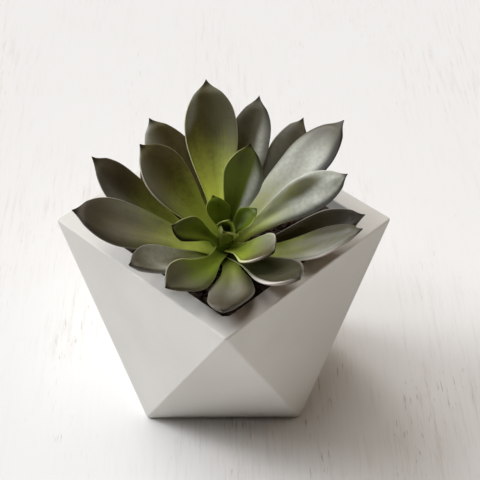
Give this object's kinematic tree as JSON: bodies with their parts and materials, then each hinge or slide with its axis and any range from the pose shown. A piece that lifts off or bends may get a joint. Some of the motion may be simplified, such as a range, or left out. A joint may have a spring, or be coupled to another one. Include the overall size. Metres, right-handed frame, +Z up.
{
  "type": "potted echeveria",
  "caption": "Rosette succulent with pointed olive-brown leaves on a short stem, rooted in dark soil in a faceted white pot.",
  "frame": {"origin": "under the middle of the pot's square foot, on the surface that it stands on", "axes": "+Z up; -Y is the front, where a corner of the rim points and the rosette leans; +X to the right"},
  "size_m": [0.1542, 0.1542, 0.1491],
  "materials": {
    "pot": "matte, fine grained",
    "soil": "matte crumbs",
    "heart": "satin",
    "leaf": "satin, with a thin pale bloom"
  },
  "bodies": {
    "root": {"pot": "pot", "soil": "soil", "stem_heart": "heart", "leaf_01": "leaf", "leaf_02": "leaf", "leaf_03": "leaf", "leaf_04": "leaf", "leaf_05": "leaf", "leaf_06": "leaf", "leaf_07": "leaf", "leaf_08": "leaf", "leaf_09": "leaf", "leaf_10": "leaf", "leaf_11": "leaf", "leaf_12": "leaf", "leaf_13": "leaf", "leaf_14": "leaf", "leaf_15": "leaf", "leaf_16": "leaf", "leaf_17": "leaf", "leaf_18": "leaf", "leaf_19": "leaf", "leaf_20": "leaf", "leaf_21": "leaf", "leaf_22": "leaf", "leaf_23": "leaf"}
  },
  "joints": []
}
